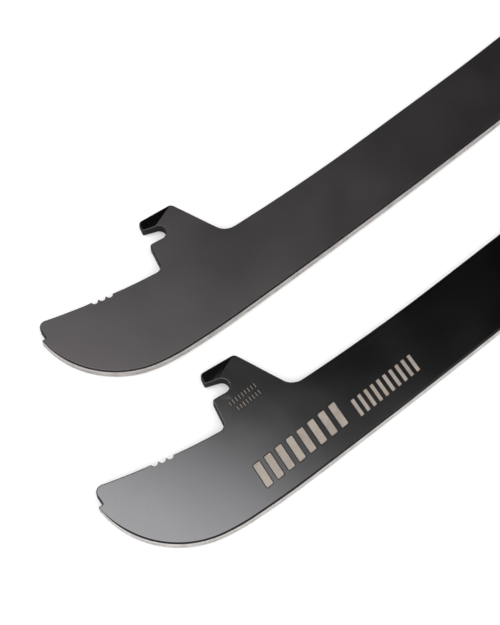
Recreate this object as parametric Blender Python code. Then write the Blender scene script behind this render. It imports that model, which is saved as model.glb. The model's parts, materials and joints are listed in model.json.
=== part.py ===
"""A loose pair of ice hockey skate runners, lying flat side by side.

A runner is one flat plate of hardened steel, cut to its outline. Its lower edge runs on the
ice and is ground hollow. Two tabs on its upper edge, each with a hook slot that opens towards
the toe, hold it in the skate's blade holder. Nothing on it moves.

World frame, in metres: +X along the runners from toe to heel, +Y towards the tabs, +Z up
through the plates' thickness. The origin is the middle of the pair's footprint, on the
surface that the runners lie on. In an outline, x is counted from the toe's foremost point and
y from the lowest point of the ice edge.
"""

import math

import bmesh
import bpy
from mathutils import Matrix, Vector

MM = 0.001

# The plate.
LENGTH = 280.0 * MM
THICKNESS = 3.2 * MM
WAIST_HEIGHT = 23.25 * MM        # ice edge to spine, at the pivot point
EDGE_BREAK = 0.15 * MM           # flat taken off the rims that aren't ground

# The ice edge. It rises from the pivot point on four arcs to each end.
PIVOT_AHEAD_OF_MIDDLE = 3.2 * MM
ROCKER_RADIUS = 2918.0 * MM
HOLLOW_RADIUS = 13.0 * MM        # of the groove ground along the ice edge
TOE_RADII = (28.2 * MM, 63.4 * MM, 303.0 * MM)
TOE_SLOPES = (13.8, 5.4)         # degrees, where one of those arcs meets the next
HEEL_RADII = (20.0 * MM, 60.0 * MM, 300.0 * MM)
HEEL_SLOPES = (14.0, 5.4)

# The toe's nose, above the ground edge, and the deck behind it.
TOE_STEP_RISE = 0.5 * MM
TOE_STEP_DEPTH = 1.55 * MM
TOE_STEP_CORNER_RADIUS = 0.35 * MM
TOE_STEP_ROOT_RADIUS = 0.2 * MM
TOE_NOSE_HEIGHT = 5.62 * MM
TOE_NOSE_LEAN = 5.0              # degrees back from upright
TOE_NOSE_RADIUS = 3.25 * MM
TOE_DECK_SAG = 0.94 * MM

# Three round notches in the toe deck.
NOTCH_COUNT = 3
NOTCH_RADIUS = 1.0 * MM
NOTCH_LAND = 0.32 * MM           # left standing between two notches
NOTCH_CENTRE_ABOVE_DECK = 0.15 * MM
FIRST_NOTCH_X = 19.75 * MM

# The spine between the tabs.
SPINE_FLAT = 32.3 * MM
SPINE_RADIUS = 705.0 * MM

# The tabs. The foot is where a tab's front side meets the edge below it.
FRONT_TAB_X = 41.36 * MM
FRONT_TAB_FOOT_RISE = 4.4 * MM   # above the waist
REAR_TAB_FROM_HEEL = 74.0 * MM
TAB_RISE = 22.25 * MM            # waist to the highest corner
TAB_TOP_LENGTH = 11.65 * MM
TAB_TOP_FALL = 8.2               # degrees, towards the heel
TAB_FRONT_LEAN = 15.6            # degrees towards the heel
TAB_REAR_LEAN = 19.35            # degrees towards the toe
TAB_FRONT_ROOT_RADIUS = 2.1 * MM
TAB_REAR_ROOT_RADIUS = 5.0 * MM
TAB_FRONT_CORNER_RADIUS = 1.4 * MM
TAB_REAR_CORNER_RADIUS = 1.7 * MM

# The hook slot in each tab.
SLOT_RADIUS = 2.25 * MM
SLOT_DEPTH = 4.45 * MM           # lip to the round end's centre, along the lower side
SLOT_LIP_BELOW_TOP = 9.08 * MM   # along the tab's front side
SLOT_FLARE = 12.8                # degrees between the slot's two sides
SLOT_LIP_RADIUS = 0.9 * MM
HOOK_NOSE_RADIUS = 0.45 * MM

# The heel's tail.
HEEL_TAIL_RISE = 3.2 * MM
HEEL_TAIL_RADIUS = 3.0 * MM
HEEL_DECK_SAG = 0.8 * MM

# How the two lie beside each other.
GAP_BETWEEN = 5.6 * MM           # near runner's tabs to far runner's lowest ice edge
FAR_AHEAD = 18.64 * MM           # of the near one, towards the heel
FAR_TURN = 0.72                  # degrees, heel swung away from the near one

CHORD_TOLERANCE = 0.01 * MM
DECK_STEPS = 16
SETTLING_ROUNDS = 12             # to find where a sloping side meets the curved spine
CORNER_SHARE = 0.2               # of a deck, how far from its end a corner takes its slope
CORNER_ROOM = 0.48               # of a side, the most that one rounded corner takes

PIVOT_X = LENGTH / 2 - PIVOT_AHEAD_OF_MIDDLE
TAB_TOP_Y = WAIST_HEIGHT + TAB_RISE
REAR_TAB_X = LENGTH - REAR_TAB_FROM_HEEL

COATED_STEEL = (0.045, 0.043, 0.042, 1.0)
COATED_ROUGHNESS = 0.16


def direction(degrees):
    """Unit vector at this angle, counted from +x towards +y."""
    angle = math.radians(degrees)
    return Vector((math.cos(angle), math.sin(angle)))


def arc(centre, radius, start, end):
    """Points on an arc between two angles in degrees, fine enough for the chord tolerance."""
    step = math.degrees(2 * math.acos(1 - CHORD_TOLERANCE / radius))
    count = max(1, math.ceil(abs(end - start) / step))
    return [centre + radius * direction(start + (end - start) * i / count)
            for i in range(count + 1)]


def crossing(point, along, other, other_along):
    """Where two straight lines meet, each given by a point and a direction."""
    gap = other - point
    turn = along.cross(other_along)
    return point + along * (gap.cross(other_along) / turn)


def rounded(before, corner, after, radius):
    """Tangent arc that takes the place of a corner between two straight sides."""
    back = (before - corner).normalized()
    ahead = (after - corner).normalized()
    half = back.angle(ahead) / 2
    room = CORNER_ROOM * min((before - corner).length, (after - corner).length)
    tangent = min(radius / math.tan(half), room)
    fitted = tangent * math.tan(half)
    centre = corner + (back + ahead).normalized() * (fitted / math.sin(half))
    first = corner + back * tangent - centre
    last = corner + ahead * tangent - centre
    start = math.degrees(math.atan2(first.y, first.x))
    sweep = math.degrees(math.atan2(first.cross(last), first.dot(last)))
    return arc(centre, fitted, start, start + sweep)


def rise_of_ice_edge(reach, radii, slopes):
    """Arcs from the pivot point to one end, as distances from the pivot and heights."""
    steepest, shallowest = (math.sin(math.radians(slope)) for slope in slopes)
    end_radius, sweep_radius, shoulder_radius = radii
    taken = (end_radius * (1 - steepest) + sweep_radius * (steepest - shallowest)
             + shoulder_radius * shallowest)
    rocker_slope = math.degrees(math.asin((reach - taken) / (ROCKER_RADIUS - shoulder_radius)))
    bounds = (0.0, rocker_slope, slopes[1], slopes[0], 90.0)
    points = [Vector((0.0, 0.0))]
    for radius, low, high in zip((ROCKER_RADIUS,) + radii[::-1], bounds, bounds[1:]):
        centre = points[-1] - radius * direction(low - 90)
        points += arc(centre, radius, low - 90, high - 90)[1:]
    return points


def spine_height(x):
    """Height of the spine, straight in the middle and curving up to both tabs."""
    past_flat = max(0.0, abs(x - PIVOT_X) - SPINE_FLAT / 2)
    return WAIST_HEIGHT + SPINE_RADIUS - math.sqrt(SPINE_RADIUS ** 2 - past_flat ** 2)


def spine(start_x, end_x):
    """Points on the spine, from one place to another further towards the toe."""
    step = math.sqrt(8 * CHORD_TOLERANCE * SPINE_RADIUS)
    count = math.ceil((start_x - end_x) / step)
    places = [start_x + (end_x - start_x) * i / count for i in range(count + 1)]
    return [Vector((x, spine_height(x))) for x in places]


def bowed(start, end, sag, share):
    """Point on a shallow curve that sags from the straight line between two points."""
    along = end - start
    down = Vector((along.y, -along.x)).normalized()
    if down.y > 0:
        down = -down
    return start + along * share + down * (4 * sag * share * (1 - share))


def tab_sides(foot):
    """The tab's two top corners, and the directions of its sides."""
    front_side = direction(90 - TAB_FRONT_LEAN)
    top_side = direction(-TAB_TOP_FALL)
    rear_side = direction(90 + TAB_REAR_LEAN)
    front_top = foot + front_side * ((TAB_TOP_Y - foot.y) / front_side.y)
    rear_top = front_top + top_side * TAB_TOP_LENGTH
    return front_top, rear_top, front_side, top_side, rear_side


def tab_rear_foot(foot):
    """Where the tab's rear side comes down on the spine."""
    _, rear_top, _, _, rear_side = tab_sides(foot)
    x = rear_top.x
    for _ in range(SETTLING_ROUNDS):
        x = rear_top.x - (rear_top.y - spine_height(x)) * rear_side.x / rear_side.y
    return Vector((x, spine_height(x)))


def tab(foot, ahead_of_foot, behind_foot):
    """Outline of one tab from its rear foot over its top, round the hook slot, to its front."""
    front_top, rear_top, front_side, top_side, _ = tab_sides(foot)
    rear_foot = tab_rear_foot(foot)
    lip = front_top - front_side * SLOT_LIP_BELOW_TOP
    square_to_slot = Vector((-top_side.y, top_side.x))
    slot_centre = lip + top_side * SLOT_DEPTH + square_to_slot * SLOT_RADIUS
    upper_side_angle = -TAB_TOP_FALL - SLOT_FLARE
    slot_roof = slot_centre + SLOT_RADIUS * direction(upper_side_angle + 90)
    hook_nose = crossing(slot_roof, direction(upper_side_angle), front_top, front_side)
    slot_floor = slot_centre - square_to_slot * SLOT_RADIUS
    points = rounded(behind_foot, rear_foot, rear_top, TAB_REAR_ROOT_RADIUS)
    points += rounded(rear_foot, rear_top, front_top, TAB_REAR_CORNER_RADIUS)
    points += rounded(rear_top, front_top, hook_nose, TAB_FRONT_CORNER_RADIUS)
    points += rounded(front_top, hook_nose, slot_roof, HOOK_NOSE_RADIUS)
    points += arc(slot_centre, SLOT_RADIUS, upper_side_angle + 90, -TAB_TOP_FALL - 90)
    points += rounded(slot_floor, lip, foot, SLOT_LIP_RADIUS)
    points += rounded(lip, foot, ahead_of_foot, TAB_FRONT_ROOT_RADIUS)
    return points


def toe_deck(foot, nose_top):
    """The deck from the front tab's foot to the nose, with its round notches."""
    half_mouth = math.sqrt(NOTCH_RADIUS ** 2 - NOTCH_CENTRE_ABOVE_DECK ** 2)
    tilt = math.degrees(math.asin(NOTCH_CENTRE_ABOVE_DECK / NOTCH_RADIUS))
    pitch = 2 * half_mouth + NOTCH_LAND
    notch_places = [FIRST_NOTCH_X + pitch * i for i in range(NOTCH_COUNT)]
    plain = [bowed(foot, nose_top, TOE_DECK_SAG, i / DECK_STEPS)
             for i in range(2, DECK_STEPS - 1)]
    stops = [(point.x, [point]) for point in plain
             if all(abs(point.x - place) > pitch for place in notch_places)]
    for place in notch_places:
        share = (foot.x - place) / (foot.x - nose_top.x)
        middle = bowed(foot, nose_top, TOE_DECK_SAG, share)
        ahead = bowed(foot, nose_top, TOE_DECK_SAG, share + 1 / DECK_STEPS) - middle
        heading = math.degrees(math.atan2(ahead.y, ahead.x))
        centre = middle + NOTCH_CENTRE_ABOVE_DECK * direction(heading - 90)
        stops.append((place, arc(centre, NOTCH_RADIUS, heading + 180 - tilt, heading + tilt)))
    stops.sort(key=lambda stop: -stop[0])
    return [point for _, group in stops for point in group]


def on_spine(x):
    """Point on the spine at this place along the runner."""
    return Vector((x, spine_height(x)))


def toe_nose(front_foot, step_outer):
    """The deck, the rounded nose at its end, and the step down to the ground edge."""
    step_root = step_outer + Vector((TOE_STEP_DEPTH, 0.0))
    nose_side = direction(90 - TOE_NOSE_LEAN)
    nose_top = step_root + nose_side * (TOE_NOSE_HEIGHT / nose_side.y)
    on_deck = bowed(front_foot, nose_top, TOE_DECK_SAG, 1 - CORNER_SHARE)
    ice_edge_end = step_outer - Vector((0.0, TOE_STEP_RISE))
    points = toe_deck(front_foot, nose_top)
    points += rounded(on_deck, nose_top, step_root, TOE_NOSE_RADIUS)
    points += rounded(nose_top, step_root, step_outer, TOE_STEP_ROOT_RADIUS)
    points += rounded(step_root, step_outer, ice_edge_end, TOE_STEP_CORNER_RADIUS)
    on_deck_at_tab = bowed(front_foot, nose_top, TOE_DECK_SAG, CORNER_SHARE)
    return points, on_deck_at_tab


def heel_tail(ice_edge_end, tab_end):
    """The rounded tail above the ground edge, and the deck from there to the rear tab."""
    tail_top = ice_edge_end + Vector((0.0, HEEL_TAIL_RISE))
    on_deck = bowed(tail_top, tab_end, HEEL_DECK_SAG, CORNER_SHARE)
    on_deck_at_tab = bowed(tail_top, tab_end, HEEL_DECK_SAG, 1 - CORNER_SHARE)
    points = rounded(ice_edge_end, tail_top, on_deck, HEEL_TAIL_RADIUS)
    points += [bowed(tail_top, tab_end, HEEL_DECK_SAG, i / DECK_STEPS)
               for i in range(3, DECK_STEPS - 3, 2)]
    return points, on_deck_at_tab


def runner_outline():
    """Closed outline, counter-clockwise seen from +Z, each point with whether it is ground."""
    to_heel = rise_of_ice_edge(LENGTH - PIVOT_X, HEEL_RADII, HEEL_SLOPES)
    to_toe = rise_of_ice_edge(PIVOT_X, TOE_RADII, TOE_SLOPES)
    heel_edge = [Vector((PIVOT_X + point.x, point.y)) for point in to_heel]
    toe_edge = [Vector((PIVOT_X - point.x, point.y)) for point in reversed(to_toe)]

    front_foot = Vector((FRONT_TAB_X, WAIST_HEIGHT + FRONT_TAB_FOOT_RISE))
    rear_foot = on_spine(REAR_TAB_X)
    front_tab_end = tab_rear_foot(front_foot)
    nose, deck_at_front_tab = toe_nose(front_foot, toe_edge[0] + Vector((0.0, TOE_STEP_RISE)))
    tail, deck_at_rear_tab = heel_tail(heel_edge[-1], tab_rear_foot(rear_foot))

    spine_start = REAR_TAB_X - TAB_REAR_ROOT_RADIUS
    spine_end = front_tab_end.x + TAB_REAR_ROOT_RADIUS
    coated = tail
    coated += tab(rear_foot, on_spine(spine_start), deck_at_rear_tab)
    coated += spine(spine_start, spine_end)
    coated += tab(front_foot, deck_at_front_tab, on_spine(spine_end + TAB_REAR_ROOT_RADIUS))
    coated += nose

    points = [(point, False) for point in coated]
    points += [(point, True) for point in toe_edge + heel_edge[1:]]
    return points


def outward_normals(points):
    """Mean outward direction at each point of a counter-clockwise outline."""
    normals = []
    for i, point in enumerate(points):
        before = points[i - 1]
        after = points[(i + 1) % len(points)]
        along = (point - before).normalized() + (after - point).normalized()
        normals.append(Vector((along.y, -along.x)).normalized())
    return normals


def set_in(height, ground):
    """How far the edge lies inside the outline, at this height in the plate's thickness."""
    half = THICKNESS / 2
    if ground:
        from_middle = height - half
        return (math.sqrt(HOLLOW_RADIUS ** 2 - from_middle ** 2)
                - math.sqrt(HOLLOW_RADIUS ** 2 - half ** 2))
    on_face = min(height, THICKNESS - height) < EDGE_BREAK / 2
    return EDGE_BREAK if on_face else 0.0


def plate_mesh(name):
    """The runner's plate as one closed mesh, lying on z = 0."""
    outline = runner_outline()
    points = [point for point, _ in outline]
    normals = outward_normals(points)
    heights = (0.0, EDGE_BREAK, THICKNESS / 4, THICKNESS / 2, THICKNESS * 3 / 4,
               THICKNESS - EDGE_BREAK, THICKNESS)
    shape = bmesh.new()
    rings = []
    for height in heights:
        ring = []
        for (point, ground), normal in zip(outline, normals):
            place = point - normal * set_in(height, ground)
            ring.append(shape.verts.new((place.x, place.y, height)))
        rings.append(ring)
    shape.faces.new(reversed(rings[0]))
    shape.faces.new(rings[-1])
    for lower, upper in zip(rings, rings[1:]):
        for i in range(len(lower)):
            after = (i + 1) % len(lower)
            shape.faces.new((lower[i], lower[after], upper[after], upper[i]))
    bmesh.ops.triangulate(shape, faces=shape.faces[:])
    mesh = bpy.data.meshes.new(name)
    shape.to_mesh(mesh)
    shape.free()
    mesh.shade_smooth()
    mesh.set_sharp_from_angle(angle=math.radians(25))
    return mesh


def coated_steel(name):
    """Dark, glossy hard coating on polished steel."""
    material = bpy.data.materials.new(name)
    material.use_nodes = True
    shader = material.node_tree.nodes["Principled BSDF"]
    shader.inputs["Base Color"].default_value = COATED_STEEL
    shader.inputs["Metallic"].default_value = 1.0
    shader.inputs["Roughness"].default_value = COATED_ROUGHNESS
    return material


def add_runner(name, place):
    """One runner, put in its place in the pair."""
    mesh = plate_mesh(name)
    mesh.materials.append(coated_steel(name + "_coating"))
    runner = bpy.data.objects.new(name, mesh)
    runner.matrix_world = place
    bpy.context.scene.collection.objects.link(runner)
    return runner


def lay_pair():
    """Both runners on the surface, centred on the origin."""
    far_place = (Matrix.Translation((FAR_AHEAD, TAB_TOP_Y + GAP_BETWEEN, 0.0))
                 @ Matrix.Rotation(math.radians(FAR_TURN), 4, "Z"))
    near = add_runner("runner_left", Matrix.Identity(4))
    far = add_runner("runner_right", far_place)
    corners = [runner.matrix_world @ vertex.co
               for runner in (near, far) for vertex in runner.data.vertices]
    middle_x = (min(c.x for c in corners) + max(c.x for c in corners)) / 2
    middle_y = (min(c.y for c in corners) + max(c.y for c in corners)) / 2
    for runner in (near, far):
        runner.matrix_world = Matrix.Translation((-middle_x, -middle_y, 0.0)) @ runner.matrix_world


for old in list(bpy.data.objects):
    bpy.data.objects.remove(old, do_unlink=True)
lay_pair()
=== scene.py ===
"""A loose pair of ice hockey skate runners lying on a pale studio floor.

Each runner is one steel plate: coated faces with rolled-over rims, thinned hook noses,
a bare hollow-ground ice edge, and on its outer face a set of shallow etched bars.
"""

import json
import logging
import math
from collections.abc import Callable
from dataclasses import dataclass
from enum import Enum, IntEnum

import bmesh
import bpy
import numpy as np
from mathutils import Matrix, Vector

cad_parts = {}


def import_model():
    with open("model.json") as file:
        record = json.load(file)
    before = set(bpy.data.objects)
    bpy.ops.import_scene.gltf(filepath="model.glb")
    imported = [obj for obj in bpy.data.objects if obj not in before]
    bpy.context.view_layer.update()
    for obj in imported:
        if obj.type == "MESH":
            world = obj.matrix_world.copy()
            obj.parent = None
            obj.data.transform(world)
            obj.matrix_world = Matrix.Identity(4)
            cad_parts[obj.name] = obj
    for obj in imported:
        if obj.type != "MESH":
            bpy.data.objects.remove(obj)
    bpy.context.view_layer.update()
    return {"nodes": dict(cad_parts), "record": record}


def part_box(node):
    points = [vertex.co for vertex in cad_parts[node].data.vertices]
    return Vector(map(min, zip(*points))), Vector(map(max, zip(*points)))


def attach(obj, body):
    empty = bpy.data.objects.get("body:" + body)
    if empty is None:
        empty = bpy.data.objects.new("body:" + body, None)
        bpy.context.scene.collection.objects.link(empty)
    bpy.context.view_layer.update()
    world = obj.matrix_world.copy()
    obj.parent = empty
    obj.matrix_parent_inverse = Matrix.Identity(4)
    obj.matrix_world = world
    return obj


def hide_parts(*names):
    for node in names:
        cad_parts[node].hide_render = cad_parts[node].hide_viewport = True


LOG = logging.getLogger("runners")
MM = 0.001
SNAP = 0.01 * MM


class Side(Enum):
    """Which face of the lying plate something is on."""

    UPPER = 1
    UNDER = -1


class Slot(IntEnum):
    """The order of the finishes on a runner."""

    FACE = 0
    CUT_EDGE = 1
    ICE_EDGE = 2
    ETCHED = 3
    SCORCHED = 4
    NOSE = 5


# ------------------------------------------------------------------------------------
# Node helpers
# ------------------------------------------------------------------------------------


class NodeBench:
    """Adds and joins the nodes of one node tree."""

    def __init__(self, tree: bpy.types.NodeTree) -> None:
        """Starts with an empty tree.

        Args:
            tree: The tree to fill.
        """
        self.tree = tree
        self.tree.nodes.clear()

    def add(self, kind: str, **settings: object) -> bpy.types.Node:
        """Adds one node.

        Args:
            kind: The node's type name.
            settings: Properties to set on the node.

        Returns:
            The new node.
        """
        node = self.tree.nodes.new(kind)
        for name, value in settings.items():
            setattr(node, name, value)
        return node

    def feed(self, socket: bpy.types.NodeSocket, value: object) -> None:
        """Joins an output to a socket, or sets the socket's own value.

        Args:
            socket: The socket to feed.
            value: An output, or a plain value.
        """
        if isinstance(value, bpy.types.NodeSocket):
            self.tree.links.new(value, socket)
        else:
            socket.default_value = value

    def math(self, operation: str, *values: object) -> bpy.types.NodeSocket:
        """Adds a Math node.

        Args:
            operation: What the node does.
            values: Its inputs, each an output or a plain value.

        Returns:
            The node's output.
        """
        node = self.add("ShaderNodeMath", operation=operation)
        for socket, value in zip(node.inputs, values):
            self.feed(socket, value)
        return node.outputs[0]

    def object_space(
        self,
        scale: tuple[float, float, float] = (1.0, 1.0, 1.0),
        turn: float = 0.0,
    ) -> bpy.types.NodeSocket:
        """Adds the piece's own coordinates, scaled and then turned about Z.

        Args:
            scale: The factor on each axis.
            turn: The angle, in radians.

        Returns:
            The coordinates.
        """
        source = self.add("ShaderNodeTexCoord")
        mapping = self.add("ShaderNodeMapping")
        self.feed(mapping.inputs["Vector"], source.outputs["Object"])
        self.feed(mapping.inputs["Rotation"], (0.0, 0.0, turn))
        self.feed(mapping.inputs["Scale"], scale)
        return mapping.outputs[0]

    def noise(
        self,
        vector: bpy.types.NodeSocket,
        scale: float,
        detail: float = 2.0,
        roughness: float = 0.5,
    ) -> bpy.types.NodeSocket:
        """Adds a Noise Texture node.

        Args:
            vector: The coordinates it reads.
            scale: How fine it is.
            detail: How many finer layers it adds.
            roughness: How strong the finer layers are.

        Returns:
            Its value, from 0 to 1.
        """
        node = self.add("ShaderNodeTexNoise")
        self.feed(node.inputs["Vector"], vector)
        self.feed(node.inputs["Scale"], scale)
        self.feed(node.inputs["Detail"], detail)
        self.feed(node.inputs["Roughness"], roughness)
        return node.outputs["Fac"]

    def spread(
        self,
        value: bpy.types.NodeSocket,
        low: float,
        high: float,
        to_low: float,
        to_high: float,
    ) -> bpy.types.NodeSocket:
        """Carries a value from one range to another, held at the ends.

        Args:
            value: The value to carry.
            low: The start of its range.
            high: The end of its range.
            to_low: What the start becomes.
            to_high: What the end becomes.

        Returns:
            The carried value.
        """
        node = self.add("ShaderNodeMapRange", clamp=True)
        self.feed(node.inputs["Value"], value)
        self.feed(node.inputs["From Min"], low)
        self.feed(node.inputs["From Max"], high)
        self.feed(node.inputs["To Min"], to_low)
        self.feed(node.inputs["To Max"], to_high)
        return node.outputs["Result"]

    def blend(
        self,
        share: object,
        first: object,
        second: object,
    ) -> bpy.types.NodeSocket:
        """Mixes two colours.

        Args:
            share: How much of the second colour there is, from 0 to 1.
            first: The first colour.
            second: The second colour.

        Returns:
            The mixed colour.
        """
        node = self.add("ShaderNodeMix", data_type="RGBA")
        self.feed(node.inputs[0], share)
        self.feed(node.inputs[6], first)
        self.feed(node.inputs[7], second)
        return node.outputs[2]

    def bump(
        self,
        height: bpy.types.NodeSocket,
        distance: float,
        strength: float = 1.0,
        under: bpy.types.NodeSocket | None = None,
    ) -> bpy.types.NodeSocket:
        """Makes a surface look raised.

        Args:
            height: How high each place is, from 0 to 1.
            distance: What a height of 1 measures, in metres.
            strength: How much of the effect is kept.
            under: The normal to start from, where it isn't the surface's own.

        Returns:
            The raised surface's normal.
        """
        node = self.add("ShaderNodeBump")
        self.feed(node.inputs["Height"], height)
        self.feed(node.inputs["Distance"], distance)
        self.feed(node.inputs["Strength"], strength)
        if under is not None:
            self.feed(node.inputs["Normal"], under)
        return node.outputs["Normal"]

    def uv(self, name: str, scale: tuple[float, float, float]) -> bpy.types.NodeSocket:
        """Adds scaled coordinates of one of the piece's UV maps.

        Args:
            name: The map's name.
            scale: The factor on each axis.

        Returns:
            The coordinates.
        """
        source = self.add("ShaderNodeUVMap", uv_map=name)
        mapping = self.add("ShaderNodeMapping")
        self.feed(mapping.inputs["Vector"], source.outputs[0])
        self.feed(mapping.inputs["Scale"], scale)
        return mapping.outputs[0]


def grey(value: float) -> tuple[float, float, float, float]:
    """Returns a neutral colour."""
    return (value, value, value, 1.0)


# ------------------------------------------------------------------------------------
# Finishes
# ------------------------------------------------------------------------------------


@dataclass(frozen=True)
class CoatedFace:
    """The dark glossy hard coating on a polished face."""

    name: str
    coat: tuple[float, float, float, float] = (0.128, 0.126, 0.130, 1.0)
    roughness: float = 0.16
    smudge: float = 0.05
    grazing: float = 0.3
    turn: float = 0.0
    cloud_scale: float = 38.0
    grain_scale: float = 150.0
    grain_stretch: float = 46.0
    grain_height: float = 0.0002 * MM
    hair_scale: float = 60.0
    hair_stretch: float = 90.0
    hair_turn: float = 0.35
    hair_dulling: float = 0.08
    speck_scale: float = 1500.0

    def make(self) -> bpy.types.Material:
        """Mixes the finish.

        Returns:
            The material.
        """
        material = bpy.data.materials.new(self.name)
        material.use_nodes = True
        bench = NodeBench(material.node_tree)
        shader = bench.add("ShaderNodeBsdfPrincipled")
        plain = bench.object_space()
        along = bench.object_space((1.0, self.grain_stretch, 1.0), self.turn)
        cloud = bench.noise(plain, self.cloud_scale, 3.0, 0.55)
        grain = bench.noise(along, self.grain_scale, 3.0, 0.6)
        strands = bench.object_space((1.0, self.hair_stretch, 1.0), self.hair_turn)
        hairs = bench.noise(strands, self.hair_scale, 1.0)
        specks = bench.noise(plain, self.speck_scale, 1.0)
        tone = bench.math(
            "MULTIPLY",
            bench.spread(cloud, 0.3, 0.7, 0.965, 1.035),
            bench.spread(grain, 0.3, 0.7, 0.985, 1.015),
        )
        tone = bench.math("MULTIPLY", tone, bench.spread(specks, 0.2, 0.27, 0.6, 1.0))
        scaled = bench.add("ShaderNodeVectorMath", operation="SCALE")
        bench.feed(scaled.inputs[0], self.coat[:3])
        bench.feed(scaled.inputs["Scale"], tone)
        gloss = bench.math(
            "ADD",
            bench.spread(
                cloud, 0.35, 0.7, self.roughness, self.roughness + self.smudge
            ),
            bench.spread(hairs, 0.73, 0.80, 0.0, self.hair_dulling),
        )
        bench.feed(shader.inputs["Base Color"], scaled.outputs[0])
        bench.feed(shader.inputs["Metallic"], 1.0)
        bench.feed(shader.inputs["Specular Tint"], grey(self.grazing))
        bench.feed(shader.inputs["Roughness"], gloss)
        bench.feed(shader.inputs["Normal"], bench.bump(grain, self.grain_height, 0.4))
        out = bench.add("ShaderNodeOutputMaterial")
        bench.feed(out.inputs["Surface"], shader.outputs[0])
        return material


@dataclass(frozen=True)
class CoatedCutEdge:
    """The coating on the cut edge, over the fine upright ribs left by the cutting."""

    name: str
    coat: tuple[float, float, float, float] = (0.016, 0.016, 0.017, 1.0)
    roughness: float = 0.5
    worn: float = 0.05
    wear_scale: float = 420.0
    shine: float = 0.12
    index: float = 1.25
    rib_pitch: float = 0.22 * MM
    rib_stretch: float = 0.09
    rib_height: float = 0.006 * MM

    def make(self) -> bpy.types.Material:
        """Mixes the finish.

        Returns:
            The material.
        """
        material = bpy.data.materials.new(self.name)
        material.use_nodes = True
        bench = NodeBench(material.node_tree)
        shader = bench.add("ShaderNodeBsdfPrincipled")
        upright = bench.uv("run", (1.0, self.rib_stretch, 1.0))
        ribs = bench.noise(upright, 1.0 / self.rib_pitch, 2.0)
        wear = bench.noise(bench.object_space(), self.wear_scale, 3.0, 0.6)
        share = bench.spread(wear, 0.55, 0.75, 0.0, 0.35)
        paint = bench.blend(share, self.coat, grey(self.worn))
        bench.feed(shader.inputs["Base Color"], paint)
        bench.feed(shader.inputs["Specular IOR Level"], self.shine)
        bench.feed(shader.inputs["IOR"], self.index)
        bench.feed(
            shader.inputs["Roughness"],
            bench.spread(ribs, 0.3, 0.7, self.roughness, self.roughness + 0.16),
        )
        bench.feed(shader.inputs["Normal"], bench.bump(ribs, self.rib_height, 0.7))
        out = bench.add("ShaderNodeOutputMaterial")
        bench.feed(out.inputs["Surface"], shader.outputs[0])
        return material


@dataclass(frozen=True)
class GroundSteel:
    """Bare steel of the ice edge, with grinding marks and faint heat colour."""

    name: str
    steel: tuple[float, float, float, float] = (0.54, 0.52, 0.505, 1.0)
    stained: tuple[float, float, float, float] = (0.34, 0.31, 0.30, 1.0)
    roughness: float = 0.33
    grain_pitch: float = 0.12 * MM
    grain_height: float = 0.004 * MM
    chatter_scale: float = 1500.0
    chatter_height: float = 0.008 * MM
    patch_scale: float = 260.0

    def make(self) -> bpy.types.Material:
        """Mixes the finish.

        Returns:
            The material.
        """
        material = bpy.data.materials.new(self.name)
        material.use_nodes = True
        bench = NodeBench(material.node_tree)
        shader = bench.add("ShaderNodeBsdfPrincipled")
        along = bench.uv("run", (0.05, 1.0, 1.0))
        across = bench.uv("run", (1.0, 0.12, 1.0))
        grain = bench.noise(along, 1.0 / self.grain_pitch, 3.0, 0.6)
        chatter = bench.noise(across, self.chatter_scale, 2.0, 0.6)
        patchy = bench.uv("run", (1.0, 2.2, 1.0))
        patches = bench.noise(patchy, self.patch_scale, 3.0, 0.6)
        stain = bench.math(
            "MULTIPLY",
            bench.spread(patches, 0.42, 0.62, 0.0, 1.0),
            bench.spread(chatter, 0.3, 0.65, 0.35, 1.0),
        )
        bench.feed(
            shader.inputs["Base Color"], bench.blend(stain, self.steel, self.stained)
        )
        bench.feed(shader.inputs["Metallic"], 1.0)
        bench.feed(
            shader.inputs["Roughness"],
            bench.spread(grain, 0.3, 0.7, self.roughness, self.roughness + 0.14),
        )
        first = bench.bump(grain, self.grain_height, 0.5)
        bench.feed(
            shader.inputs["Normal"],
            bench.bump(chatter, self.chatter_height, 0.35, first),
        )
        out = bench.add("ShaderNodeOutputMaterial")
        bench.feed(out.inputs["Surface"], shader.outputs[0])
        return material


@dataclass(frozen=True)
class EtchedSteel:
    """The stippled floor of an etched mark, or with a dark tone its scorched border."""

    name: str
    steel: tuple[float, float, float, float] = (0.42, 0.37, 0.325, 1.0)
    dark: tuple[float, float, float, float] = (0.24, 0.205, 0.175, 1.0)
    metallic: float = 0.55
    shine: float = 0.5
    roughness: float = 0.52
    stipple_pitch: float = 0.17 * MM
    stipple_height: float = 0.012 * MM
    cloud_scale: float = 240.0

    def make(self) -> bpy.types.Material:
        """Mixes the finish.

        Returns:
            The material.
        """
        material = bpy.data.materials.new(self.name)
        material.use_nodes = True
        bench = NodeBench(material.node_tree)
        shader = bench.add("ShaderNodeBsdfPrincipled")
        stipple = bench.noise(bench.object_space(), 1.0 / self.stipple_pitch, 2.0, 0.6)
        cloud = bench.noise(bench.object_space(), self.cloud_scale, 2.0)
        share = bench.math(
            "ADD",
            bench.spread(stipple, 0.35, 0.65, 0.0, 0.6),
            bench.spread(cloud, 0.35, 0.7, 0.0, 0.4),
        )
        bench.feed(
            shader.inputs["Base Color"], bench.blend(share, self.steel, self.dark)
        )
        bench.feed(shader.inputs["Metallic"], self.metallic)
        bench.feed(shader.inputs["Specular IOR Level"], self.shine)
        bench.feed(shader.inputs["Roughness"], self.roughness)
        bench.feed(
            shader.inputs["Normal"], bench.bump(stipple, self.stipple_height, 0.5)
        )
        out = bench.add("ShaderNodeOutputMaterial")
        bench.feed(out.inputs["Surface"], shader.outputs[0])
        return material


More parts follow.
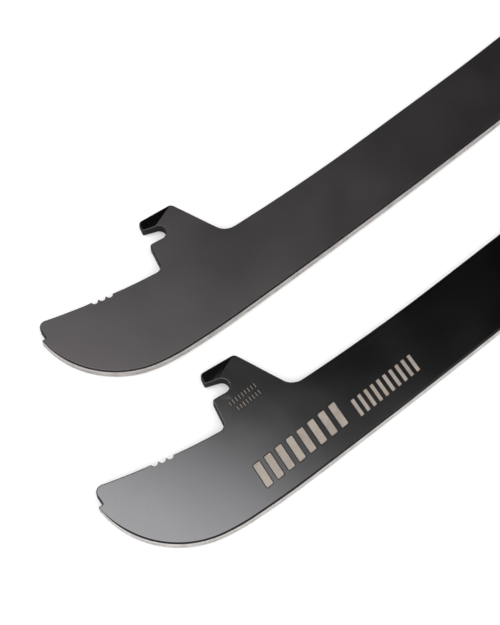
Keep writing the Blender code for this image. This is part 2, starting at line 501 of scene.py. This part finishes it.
@dataclass(frozen=True)
class PaleFloor:
    """The floor's plain white paint."""

    name: str = "pale_floor"
    paint: float = 0.93

    def make(self) -> bpy.types.Material:
        """Mixes the finish.

        Returns:
            The material.
        """
        material = bpy.data.materials.new(self.name)
        material.use_nodes = True
        bench = NodeBench(material.node_tree)
        shader = bench.add("ShaderNodeBsdfPrincipled")
        cloud = bench.noise(bench.object_space(), 9.0, 2.0)
        bench.feed(
            shader.inputs["Base Color"],
            bench.blend(cloud, grey(self.paint), grey(self.paint - 0.01)),
        )
        bench.feed(shader.inputs["Roughness"], 0.8)
        bench.feed(shader.inputs["Specular IOR Level"], 0.2)
        out = bench.add("ShaderNodeOutputMaterial")
        bench.feed(out.inputs["Surface"], shader.outputs[0])
        return material


# ------------------------------------------------------------------------------------
# Workbench: operators on one piece
# ------------------------------------------------------------------------------------


def take_up(piece: bpy.types.Object) -> None:
    """Makes a piece the one selected and active object.

    Args:
        piece: The piece.
    """
    if bpy.context.mode != "OBJECT":
        bpy.ops.object.mode_set(mode="OBJECT")
    bpy.ops.object.select_all(action="DESELECT")
    piece.select_set(True)
    bpy.context.view_layer.objects.active = piece


def open_up(piece: bpy.types.Object, mode: str = "FACE") -> bmesh.types.BMesh:
    """Opens piece in edit mode with nothing selected.

    Args:
        piece: The object to edit.
        mode: The selection mode, VERT, EDGE or FACE.

    Returns:
        The edit mesh.
    """
    take_up(piece)
    bpy.ops.object.mode_set(mode="EDIT")
    bpy.ops.mesh.select_mode(type=mode)
    bpy.ops.mesh.select_all(action="DESELECT")
    return bmesh.from_edit_mesh(piece.data)


def close_up() -> None:
    """Goes back to object mode."""
    bpy.ops.object.mode_set(mode="OBJECT")


def pick(
    piece: bpy.types.Object,
    cells: str,
    wanted: Callable[[object], bool],
) -> int:
    """Selects, in edit mode, the cells that a test accepts, and nothing else.

    Args:
        piece: The object in edit mode.
        cells: The name of the mesh's list: verts, edges or faces.
        wanted: The test.

    Returns:
        How many were selected.
    """
    bpy.ops.mesh.select_all(action="DESELECT")
    mesh = bmesh.from_edit_mesh(piece.data)
    found = [cell for cell in getattr(mesh, cells) if wanted(cell)]
    for cell in found:
        cell.select_set(True)
    mesh.select_flush_mode()
    bmesh.update_edit_mesh(piece.data)
    return len(found)


def apply_modifier(piece: bpy.types.Object, kind: str, **settings: object) -> None:
    """Adds one modifier to a piece and applies it.

    Args:
        piece: The piece.
        kind: The modifier's type name.
        settings: Properties to set on the modifier.
    """
    take_up(piece)
    modifier = piece.modifiers.new(kind.lower(), kind)
    for name, value in settings.items():
        setattr(modifier, name, value)
    bpy.ops.object.modifier_apply(modifier=modifier.name)


# ------------------------------------------------------------------------------------
# The runners
# ------------------------------------------------------------------------------------


@dataclass(frozen=True)
class Lay:
    """Where a runner's own axes lie: X from toe to heel, Y from ice edge to spine."""

    origin: Vector
    turn: float

    def own(self, place: Vector) -> Vector:
        """Returns a place in the runner's own axes, in millimetres."""
        moved = Matrix.Rotation(-self.turn, 3, "Z") @ (place - self.origin)
        return moved / MM

    def world(self, x: float, y: float, z: float = 0.0) -> Vector:
        """Returns the frame's place for a place given in millimetres."""
        return self.origin + Matrix.Rotation(self.turn, 3, "Z") @ Vector((x, y, z)) * MM

    def along(self, x: float, y: float) -> Vector:
        """Returns the frame's direction for one of the runner's own."""
        return Matrix.Rotation(self.turn, 3, "Z") @ Vector((x, y, 0.0))


def mount_place(record: dict, name: str) -> Vector:
    """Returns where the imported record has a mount."""
    return Vector(next(m["pos_m"] for m in record["mounts"] if m["name"] == name))


def lays_of_pair(record: dict) -> dict[str, Lay]:
    """Finds both runners' lays: the left one lies along X and the right one is turned.

    Args:
        record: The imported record.

    Returns:
        The lay of each node.
    """
    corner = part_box("runner_left")[0]
    left = Lay(Vector((corner.x, corner.y, 0.0)), 0.0)
    front = mount_place(record, "right_front_tab_top")
    rear = mount_place(record, "right_rear_tab_top")
    turn = math.atan2(rear.y - front.y, rear.x - front.x)
    own_front = mount_place(record, "left_front_tab_top") - left.origin
    own_front.z = 0.0
    origin = front - Matrix.Rotation(turn, 3, "Z") @ own_front
    right = Lay(Vector((origin.x, origin.y, 0.0)), turn)
    return {"runner_left": left, "runner_right": right}


@dataclass(frozen=True)
class BarRow:
    """One row of slanted etched bars, in a runner's own millimetres."""

    first: float
    foot: float
    height: float
    width: float
    gap: float
    count: int
    lean: float
    border: float
    corner: float

    def bars(self) -> list[tuple[float, float, float]]:
        """Lists the row's bars.

        Returns:
            Each bar's left side, foot and height.
        """
        pitch = self.width + self.gap
        lefts = [self.first + i * pitch for i in range(self.count)]
        return [(left, self.foot, self.height) for left in lefts]


class Outline:
    """A plate's outline as straight steps, with what each step's edge is."""

    def __init__(self, mesh: bpy.types.Mesh, level: float) -> None:
        """Walks round the open top of a wall.

        Args:
            mesh: The wall, its faces marked with their slots.
            level: The height of its open top.
        """
        hollowed = set()
        for face in mesh.polygons:
            if face.material_index == Slot.ICE_EDGE:
                hollowed.update(face.edge_keys)
        rim = [
            edge.key
            for edge in mesh.edges
            if all(abs(mesh.vertices[i].co.z - level) < SNAP for i in edge.vertices)
        ]
        after = {}
        for first, second in rim:
            after.setdefault(first, []).append(second)
            after.setdefault(second, []).append(first)
        highest = max(after, key=lambda i: mesh.vertices[i].co.x)
        order = [highest, after[highest][0]]
        while len(order) < len(rim):
            order.append(next(i for i in after[order[-1]] if i != order[-2]))
        points = np.array([mesh.vertices[i].co.xy for i in order])
        self.start = points
        self.step = np.roll(points, -1, axis=0) - points
        self.length = np.linalg.norm(self.step, axis=1)
        self.run = np.concatenate([[0.0], np.cumsum(self.length)[:-1]])
        pairs = zip(order, order[1:] + order[:1])
        self.ground = np.array([tuple(sorted(pair)) in hollowed for pair in pairs])
        self.inside_ground = self.ground & np.roll(self.ground, 1)
        ahead = self.step / self.length[:, None]
        turned = np.stack([-ahead[:, 1], ahead[:, 0]], axis=1)
        x, y = points[:, 0], points[:, 1]
        area = (x * np.roll(y, -1) - np.roll(x, -1) * y).sum()
        sides = turned * (1.0 if area > 0.0 else -1.0)
        before = np.roll(sides, 1, axis=0)
        mitre = (sides + before) / (1.0 + (sides * before).sum(1))[:, None]
        self.inward = mitre

    def corner_at(self, place: Vector) -> int:
        """Returns the index of the outline's corner nearest to a place."""
        return int(np.linalg.norm(self.start - np.array(place.xy), axis=1).argmin())

    def nearest(self, places: np.ndarray) -> np.ndarray:
        """Finds the steps nearest to some places.

        Args:
            places: The places, one in each row.

        Returns:
            The index of the step nearest to each place.
        """
        offset = places[:, None, :] - self.start[None, :, :]
        share = (offset * self.step).sum(2) / (self.length**2)
        share = np.clip(share, 0.0, 1.0)[:, :, None]
        return np.linalg.norm(offset - share * self.step, axis=2).argmin(1)

    def run_at(self, steps: np.ndarray, places: np.ndarray) -> np.ndarray:
        """Measures how far round the outline places are, each on its own step.

        Args:
            steps: The index of each place's step.
            places: The places, one in each row.

        Returns:
            How far round the outline each place is.
        """
        offset = places - self.start[steps]
        along = (offset * self.step[steps]).sum(1) / self.length[steps]
        return self.run[steps] + along


@dataclass(frozen=True)
class Hook:
    """The facet that thins a hook's nose, in a runner's own millimetres.

    The facet falls away from a slanted line that joins the slot's end to the tab's rear
    corner. It eases in over a short way and then falls straight.
    """

    slot_end: tuple[float, float]
    rear_corner: tuple[float, float]
    steepness: float = math.radians(7.5)
    easing: float = 1.1
    reach: float = 8.5
    past_corner: float = 0.6
    lowest: float = 39.6
    tab_reach: float = 16.0
    tab_floor: float = 12.0
    easing_rows: int = 5

    def ends(self) -> tuple[float, float]:
        """Returns how far forward and back the nose and its top reach, along X."""
        return self.slot_end[0] - self.reach, self.rear_corner[0] + self.past_corner

    def up(self) -> Vector:
        """Returns the facet's downhill direction, at right angles to its line."""
        line = Vector(self.rear_corner) - Vector(self.slot_end)
        return Vector((-line.y, line.x)).normalized()

    def past(self, x: float, y: float) -> float:
        """Returns how far past the facet's line a place is."""
        return (Vector((x, y)) - Vector(self.slot_end)).dot(self.up())

    def holds(self, x: float, y: float) -> bool:
        """Says whether a place is on the nose or the tab's top."""
        left, right = self.ends()
        return left < x < right and y > self.lowest and self.past(x, y) > -0.01

    def on_tab(self, x: float, y: float) -> bool:
        """Says whether a place is on the tab that carries the hook."""
        right = self.ends()[1]
        return right - self.tab_reach < x < right and y > self.tab_floor

    def drop(self, x: float, y: float) -> float:
        """Measures the facet at a place.

        Args:
            x: How far from the toe the place is.
            y: How far above the ice edge the place is.

        Returns:
            How far the facet lies below the flat there.
        """
        past = max(0.0, self.past(x, y))
        if past < self.easing:
            return math.tan(self.steepness) * past * past / (2.0 * self.easing)
        return math.tan(self.steepness) * (past - self.easing / 2.0)


@dataclass
class Runner:
    """One coated steel runner."""

    name: str
    node: bpy.types.Object
    lay: Lay
    marked: Side
    finishes: dict[Slot, bpy.types.Material]
    rows: tuple[BarRow, ...]
    hooks: tuple[Hook, ...]
    thickness: float = 3.2
    chamfer: float = 0.15
    hollow: float = 13.0 * MM
    wall_steps: int = 6
    rim: float = 0.34
    ice_rim: tuple[float, float] = (0.70, 0.34)
    ice_rim_start: float = 0.2
    ice_rim_growth: float = 0.08
    notch_rim: float = 0.10
    rim_steps: int = 6
    notches: tuple[float, float] = (17.5, 28.8)
    notch_floor: float = 26.0
    step_corner: tuple[float, float] = (1.2, 31.8)
    recess: float = 0.035
    coated_lean: float = 0.93
    flat_lean: float = 0.9999
    ice_lean: float = 0.985
    bare_lean: float = 0.45
    piece: bpy.types.Object | None = None
    outline: Outline | None = None

    def build(self) -> bpy.types.Object:
        """Models and finishes the runner.

        Returns:
            The finished piece.
        """
        self.copy_outline()
        self.draw_wall()
        self.roll_rims()
        for hook in self.hooks:
            self.cut_hook(hook)
        self.thin_noses()
        self.cut_marks()
        self.dress()
        self.smooth()
        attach(self.piece, "root")
        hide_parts(self.node.name)
        return self.piece

    def copy_outline(self) -> None:
        """Keeps only the outline of a merged copy of the plate, closed by one face."""
        self.piece = bpy.data.objects.new(self.name, self.node.data.copy())
        bpy.context.scene.collection.objects.link(self.piece)
        self.piece.data.materials.clear()
        for slot in Slot:
            self.piece.data.materials.append(self.finishes[slot])
        open_up(self.piece, "VERT")
        bpy.ops.mesh.select_all(action="SELECT")
        bpy.ops.mesh.remove_doubles(threshold=0.001 * MM)
        close_up()
        low, high = 0.5 * MM, (self.thickness - 0.5) * MM
        for face in self.piece.data.polygons:
            heights = [self.piece.data.vertices[i].co.z for i in face.vertices]
            hollow = any(low < z < high for z in heights)
            face.material_index = Slot.ICE_EDGE if hollow else Slot.CUT_EDGE
        level = (self.thickness - self.chamfer) * MM
        self.outline = Outline(self.piece.data, level)
        open_up(self.piece, "VERT")
        pick(self.piece, "verts", lambda v: abs(v.co.z - level) > SNAP)
        bpy.ops.mesh.delete(type="VERT")
        pick(self.piece, "faces", lambda f: True)
        bpy.ops.mesh.delete(type="ONLY_FACE")
        bpy.ops.mesh.select_mode(type="EDGE")
        bpy.ops.mesh.select_all(action="SELECT")
        bpy.ops.mesh.edge_face_add()
        bpy.ops.transform.translate(value=(0.0, 0.0, self.chamfer * MM))
        close_up()

    def draw_wall(self) -> None:
        """Extrudes the outline down to the other face and grinds the hollow."""
        open_up(self.piece)
        bpy.ops.mesh.select_all(action="SELECT")
        for _ in range(self.wall_steps):
            drop = -self.thickness * MM / self.wall_steps
            bpy.ops.mesh.extrude_region_move(
                TRANSFORM_OT_translate={"value": (0.0, 0.0, drop)}
            )
        bpy.ops.mesh.select_all(action="SELECT")
        bpy.ops.mesh.normals_make_consistent(inside=False)
        mesh = bmesh.from_edit_mesh(self.piece.data)
        middle = self.thickness * MM / 2.0
        edge = middle - self.chamfer * MM
        rest = math.sqrt(self.hollow**2 - edge**2)
        for vert in mesh.verts:
            rise = abs(vert.co.z - middle)
            corner = self.outline.corner_at(vert.co)
            if rise < edge and self.outline.inside_ground[corner]:
                depth = math.sqrt(self.hollow**2 - rise**2) - rest
                vert.co.xy = vert.co.xy + Vector(self.outline.inward[corner]) * depth
        bmesh.update_edit_mesh(self.piece.data)
        close_up()

    def rim_at(self, corner: int) -> tuple[float, float]:
        """Measures the rim at a corner of the outline.

        Args:
            corner: The corner's index.

        Returns:
            How far the rim reaches in over the face, and how far down the wall.
        """
        place = self.lay.own(Vector((*self.outline.start[corner], 0.0)))
        if self.outline.inside_ground[corner]:
            gap = (Vector(self.step_corner) - place.to_2d()).length
            share = min(1.0, self.ice_rim_start + self.ice_rim_growth * gap)
            return self.ice_rim[0] * share * MM, self.ice_rim[1] * share * MM
        if self.notches[0] < place.x < self.notches[1] and place.y > self.notch_floor:
            return self.notch_rim * MM, self.notch_rim * MM
        return self.rim * MM, self.rim * MM

    def roll_rims(self) -> None:
        """Insets both faces row by row and rolls the rows over the rim."""
        reach = np.array([self.rim_at(i) for i in range(len(self.outline.start))])
        for side in Side:
            up = float(side.value)
            level = self.thickness * MM if side is Side.UPPER else 0.0
            self.roll_one_rim(up, level, reach)

    def roll_one_rim(self, up: float, level: float, reach: np.ndarray) -> None:
        """Rolls the rim of one face.

        Args:
            up: 1 for the upper face and -1 for the under one.
            level: The face's height.
            reach: How far in and down the rim goes at each corner of the outline.
        """
        open_up(self.piece)
        pick(self.piece, "faces", lambda f: f.normal.z * up > 0.99)
        mesh = bmesh.from_edit_mesh(self.piece.data)
        cap = next(f for f in mesh.faces if f.select)
        for vert in cap.verts:
            vert.co.z = level - up * reach[self.outline.corner_at(vert.co)][1]
        bmesh.update_edit_mesh(self.piece.data)
        rows = self.outline.start
        for step in range(1, self.rim_steps + 1):
            bpy.ops.mesh.inset(thickness=0.002 * MM, depth=0.0)
            mesh = bmesh.from_edit_mesh(self.piece.data)
            cap = next(f for f in mesh.faces if f.select)
            lean = math.radians(90.0) * (1.0 - step / self.rim_steps)
            inward = reach[:, :1] * (1.0 - math.sin(lean)) * self.outline.inward
            fresh = self.outline.start + inward
            for vert in cap.verts:
                away = np.linalg.norm(rows - np.array(vert.co.xy), axis=1)
                corner = int(away.argmin())
                drop = reach[corner][1] * (1.0 - math.cos(lean))
                vert.co = Vector((*fresh[corner], level - up * drop))
            bmesh.update_edit_mesh(self.piece.data)
            rows = fresh
        close_up()

    def slice_flats(
        self,
        place: tuple[float, float],
        across: tuple[float, float],
        wanted: Callable[[Vector], bool],
    ) -> None:
        """Draws a line across the flats that a test accepts.

        Args:
            place: A place on the line, in the runner's own millimetres.
            across: The direction at right angles to the line.
            wanted: The test, on the middle of a flat in the runner's own millimetres.
        """
        open_up(self.piece)
        pick(
            self.piece,
            "faces",
            lambda f: abs(f.normal.z) > 0.9999
            and wanted(self.lay.own(f.calc_center_median())),
        )
        bpy.ops.mesh.bisect(
            plane_co=self.lay.world(*place),
            plane_no=self.lay.along(*across),
            use_fill=False,
            threshold=0.0005 * MM,
        )
        close_up()

    def cut_hook(self, hook: Hook) -> None:
        """Draws the lines on both faces along which a hook's facet eases in.

        Args:
            hook: The hook's facet.
        """
        for end in reversed(hook.ends()):
            self.slice_flats((end, 0.0), (1.0, 0.0), lambda p: True)
        up = hook.up()
        for row in range(hook.easing_rows + 1):
            place = Vector(hook.slot_end) + up * hook.easing * row / hook.easing_rows
            self.slice_flats(tuple(place), tuple(up), lambda p: hook.on_tab(p.x, p.y))

    def thin_noses(self) -> None:
        """Lowers both faces of the hooks' noses to their facets."""
        middle = self.thickness * MM / 2.0
        for vert in self.piece.data.vertices:
            place = self.lay.own(vert.co)
            for hook in self.hooks:
                if hook.holds(place.x, place.y):
                    share = hook.drop(place.x, place.y) / (self.thickness / 2.0)
                    vert.co.z = middle + (vert.co.z - middle) * (1.0 - share)

    def bar_cutter(
        self,
        row: BarRow,
        bar: tuple[float, float, float],
    ) -> bpy.types.Object:
        """Models the cutter of one bar.

        Args:
            row: The bar's row.
            bar: The bar's left side, foot and height.

        Returns:
            The cutter, its floor finished as etched steel and its border as scorched.
        """
        left, foot, height = bar
        up = float(self.marked.value)
        bpy.ops.object.select_all(action="DESELECT")
        bpy.ops.mesh.primitive_cube_add(size=1.0)
        cutter = bpy.context.active_object
        for slot in Slot:
            cutter.data.materials.append(self.finishes[slot])
        open_up(cutter, "VERT")
        bpy.ops.mesh.select_all(action="SELECT")
        tall = 20.0 * self.recess
        bpy.ops.transform.resize(value=(row.width * MM, height * MM, tall * MM))
        pick(cutter, "verts", lambda v: v.co.y > 0.0)
        bpy.ops.transform.translate(value=(row.lean * height * MM, 0.0, 0.0))
        bpy.ops.mesh.select_mode(type="EDGE")
        pick(
            cutter,
            "edges",
            lambda e: abs(e.verts[0].co.z - e.verts[1].co.z) > self.recess * MM,
        )
        bpy.ops.mesh.bevel(offset=row.corner * MM, segments=3, affect="EDGES")
        bpy.ops.mesh.select_mode(type="FACE")
        pick(cutter, "faces", lambda f: True)
        cutter.active_material_index = Slot.SCORCHED
        bpy.ops.object.material_slot_assign()
        pick(cutter, "faces", lambda f: f.normal.z * up < -0.5)
        bpy.ops.mesh.inset(thickness=row.border * MM, depth=0.0)
        cutter.active_material_index = Slot.ETCHED
        bpy.ops.object.material_slot_assign()
        close_up()
        face = self.thickness if self.marked is Side.UPPER else 0.0
        level = face + up * (tall / 2.0 - self.recess)
        middle = self.lay.world(left + row.width / 2.0, foot + height / 2.0, level)
        turn = Matrix.Rotation(self.lay.turn, 4, "Z")
        cutter.data.transform(Matrix.Translation(middle) @ turn)
        return cutter

    def cut_marks(self) -> None:
        """Cuts the etched bars into the outer face."""
        cutters = [self.bar_cutter(row, bar) for row in self.rows for bar in row.bars()]
        take_up(cutters[0])
        for cutter in cutters:
            cutter.select_set(True)
        bpy.ops.object.join()
        cutter = bpy.context.active_object
        apply_modifier(
            self.piece,
            "BOOLEAN",
            object=cutter,
            operation="DIFFERENCE",
            solver="EXACT",
            material_mode="INDEX",
        )
        bpy.data.objects.remove(cutter)

    def dress(self) -> None:
        """Gives each face its finish, and the wall its own map."""
        mesh = self.piece.data
        middles = np.array([face.center.xy for face in mesh.polygons])
        steps = self.outline.nearest(middles)
        run = mesh.uv_layers.new(name="run")
        for face, step in zip(mesh.polygons, steps):
            if face.material_index not in (Slot.ETCHED, Slot.SCORCHED):
                slot = self.slot_of(abs(face.normal.z), self.outline.ground[step])
                if slot is Slot.FACE and self.on_nose(face.center):
                    slot = Slot.NOSE
                face.material_index = slot
            for loop in face.loop_indices:
                co = mesh.vertices[mesh.loops[loop].vertex_index].co
                along = self.outline.run_at(np.array([step]), np.array([co.xy]))[0]
                run.data[loop].uv = (along, co.z)

    def slot_of(self, lean: float, ground: bool) -> Slot:
        """Chooses a face's finish.

        Args:
            lean: How nearly the face lies flat, from 0 to 1.
            ground: Whether the face lies by the ice edge.

        Returns:
            The finish's slot.
        """
        if lean > (self.ice_lean if ground else self.coated_lean):
            return Slot.FACE
        if ground and lean < self.bare_lean:
            return Slot.ICE_EDGE
        return Slot.CUT_EDGE

    def on_nose(self, place: Vector) -> bool:
        """Says whether a place is on a facet that thins one of the hooks."""
        own = self.lay.own(place)
        return any(hook.holds(own.x, own.y) for hook in self.hooks)

    def smooth(self) -> None:
        """Shades the rims round and leaves the flats flat."""
        take_up(self.piece)
        bpy.ops.object.shade_smooth_by_angle(angle=math.radians(32.0))
        apply_modifier(
            self.piece, "WEIGHTED_NORMAL", mode="FACE_AREA", weight=60, keep_sharp=True
        )
        self.steady_flats()

    def steady_flats(self) -> None:
        """Sets the normals of the flats, and of the rims that meet them, upright."""
        mesh = self.piece.data
        flat = [abs(face.normal.z) > self.flat_lean for face in mesh.polygons]
        touched = set()
        for face, is_flat in zip(mesh.polygons, flat):
            if is_flat:
                touched.update(face.vertices)
        normals = [Vector(corner.vector) for corner in mesh.corner_normals]
        for face, is_flat in zip(mesh.polygons, flat):
            upright = Vector((0.0, 0.0, math.copysign(1.0, face.normal.z)))
            for loop in face.loop_indices:
                meets = mesh.loops[loop].vertex_index in touched
                if is_flat or (meets and abs(face.normal.z) > self.coated_lean):
                    normals[loop] = upright
        mesh.normals_split_custom_set(normals)


# ------------------------------------------------------------------------------------
# The studio
# ------------------------------------------------------------------------------------


@dataclass(frozen=True)
class SoftPool:
    """One round pool of soft light over the floor, with a feathered edge.

    Its direction is given as slopes: how far east and north for one unit up. Core and
    edge are the angles, in degrees, at which it starts to fade and ends. A pool with a
    strength below nought takes light away.
    """

    east: float
    north: float
    core: float
    edge: float
    strength: float

    def feed(
        self,
        bench: NodeBench,
        heading: bpy.types.NodeSocket,
    ) -> bpy.types.NodeSocket:
        """Adds the pool's nodes.

        Args:
            bench: The light's nodes.
            heading: The direction that light comes from.

        Returns:
            The pool's light from that direction.
        """
        dot = bench.add("ShaderNodeVectorMath", operation="DOT_PRODUCT")
        bench.feed(dot.inputs[0], heading)
        bench.feed(dot.inputs[1], Vector((self.east, self.north, 1.0)).normalized())
        fade = bench.add("ShaderNodeMapRange", interpolation_type="SMOOTHSTEP")
        bench.feed(fade.inputs["Value"], dot.outputs["Value"])
        bench.feed(fade.inputs["From Min"], math.cos(math.radians(self.edge)))
        bench.feed(fade.inputs["From Max"], math.cos(math.radians(self.core)))
        bench.feed(fade.inputs["To Min"], 0.0)
        bench.feed(fade.inputs["To Max"], self.strength)
        return fade.outputs["Result"]


@dataclass(frozen=True)
class Studio:
    """The floor, the soft light and the camera."""

    pools: tuple[SoftPool, ...]
    floor_size: float = 24.0
    floor_gap: float = 0.02
    dome: float = 1.7
    lens: float = 77.69
    nearest: float = 0.01
    camera_place: tuple[float, float, float] = (-0.2004, -0.1418, 0.3494)
    camera_tilt: float = math.radians(28.5)
    camera_turn: float = math.radians(-40.224)

    def build(self) -> None:
        """Makes the whole studio."""
        self.lay_floor()
        self.light()
        self.set_camera()

    def lay_floor(self) -> None:
        """Lays the floor."""
        bpy.ops.object.select_all(action="DESELECT")
        bpy.ops.mesh.primitive_plane_add(
            size=self.floor_size, location=(0.0, 0.0, -self.floor_gap * MM)
        )
        floor = bpy.context.active_object
        floor.name = "studio_floor"
        floor.data.materials.append(PaleFloor().make())

    def light(self) -> None:
        """Lights the studio with an even dome, one dark part in it and soft pools."""
        world = bpy.data.worlds.new("soft_studio")
        bpy.context.scene.world = world
        world.use_nodes = True
        bench = NodeBench(world.node_tree)
        heading = bench.add("ShaderNodeTexCoord").outputs["Generated"]
        total = self.dome
        for pool in self.pools:
            total = bench.math("ADD", total, pool.feed(bench, heading))
        background = bench.add("ShaderNodeBackground")
        bench.feed(background.inputs["Color"], (1.0, 1.0, 1.0, 1.0))
        bench.feed(background.inputs["Strength"], total)
        out = bench.add("ShaderNodeOutputWorld")
        bench.feed(out.inputs["Surface"], background.outputs[0])
        bpy.context.scene.view_settings.view_transform = "Standard"

    def set_camera(self) -> None:
        """Hangs the camera over the toe ends, looking down along the runners."""
        lens = bpy.data.cameras.new("camera")
        lens.lens = self.lens
        lens.clip_start = self.nearest
        camera = bpy.data.objects.new("camera", lens)
        camera.location = self.camera_place
        camera.rotation_euler = (self.camera_tilt, 0.0, self.camera_turn)
        bpy.context.scene.collection.objects.link(camera)
        bpy.context.scene.camera = camera


FRONT_HOOK = Hook(slot_end=(49.9, 41.0), rear_corner=(57.6, 43.7))
REAR_HOOK = Hook(slot_end=(215.22, 41.0), rear_corner=(222.92, 43.7))
ETCHED_ROWS = (
    BarRow(
        first=38.3,
        foot=6.4,
        height=8.0,
        width=2.75,
        gap=1.2,
        count=8,
        lean=0.16,
        border=0.26,
        corner=0.5,
    ),
    BarRow(
        first=72.4,
        foot=5.6,
        height=5.9,
        width=1.5,
        gap=0.9,
        count=10,
        lean=0.16,
        border=0.2,
        corner=0.3,
    ),
    BarRow(46.6, 31.7, 1.7, 0.62, 0.5, 9, 0.12, 0.185, 0.1),
    BarRow(47.4, 29.2, 1.7, 0.62, 0.5, 8, 0.12, 0.185, 0.1),
)


def main() -> None:
    """Builds both runners and the studio."""
    logging.basicConfig(level=logging.INFO, format="%(message)s")
    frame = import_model()
    lays = lays_of_pair(frame["record"])
    shared = {
        Slot.CUT_EDGE: CoatedCutEdge("coated_cut_edge").make(),
        Slot.NOSE: CoatedFace("polished_nose", roughness=0.10, smudge=0.02).make(),
        Slot.ETCHED: EtchedSteel("etched_steel").make(),
        Slot.SCORCHED: EtchedSteel(
            "scorched_border",
            (0.012, 0.010, 0.009, 1.0),
            (0.02, 0.016, 0.013, 1.0),
            metallic=0.0,
            shine=0.06,
        ).make(),
    }
    plans = (
        (
            "runner_left",
            Side.UPPER,
            CoatedFace("polished_coating", roughness=0.12),
            GroundSteel("bright_ground_steel"),
        ),
        (
            "runner_right",
            Side.UNDER,
            CoatedFace(
                "satin_coating",
                (0.121, 0.1115, 0.1135, 1.0),
                roughness=0.30,
                turn=-lays["runner_right"].turn,
            ),
            # The far runner's ice edge takes a darker copy of the bare ground steel.
            GroundSteel(
                "dull_ground_steel", (0.44, 0.415, 0.40, 1.0), (0.27, 0.245, 0.235, 1.0)
            ),
        ),
    )
    for node_name, marked, face, bare in plans:
        runner = Runner(
            name=node_name.replace("runner", "steel_runner"),
            node=frame["nodes"][node_name],
            lay=lays[node_name],
            marked=marked,
            finishes={Slot.FACE: face.make(), Slot.ICE_EDGE: bare.make(), **shared},
            rows=ETCHED_ROWS,
            hooks=(FRONT_HOOK, REAR_HOOK),
        )
        piece = runner.build()
        LOG.info("%s: %d faces", piece.name, len(piece.data.polygons))
    Studio(
        pools=(
            SoftPool(0.60, 0.49, 27.0, 43.0, -1.68),
            SoftPool(0.056, 0.224, 8.9, 13.6, 2.2),
            SoftPool(0.171, 0.052, 14.7, 15.9, 0.20),
            SoftPool(0.3, 0.1, 6.0, 12.0, 0.20),
            SoftPool(0.0, 0.3, 8.0, 14.0, 0.66),
            SoftPool(-0.05, 0.5, 8.0, 14.0, 0.9),
        )
    ).build()


if __name__ == "__main__":
    main()
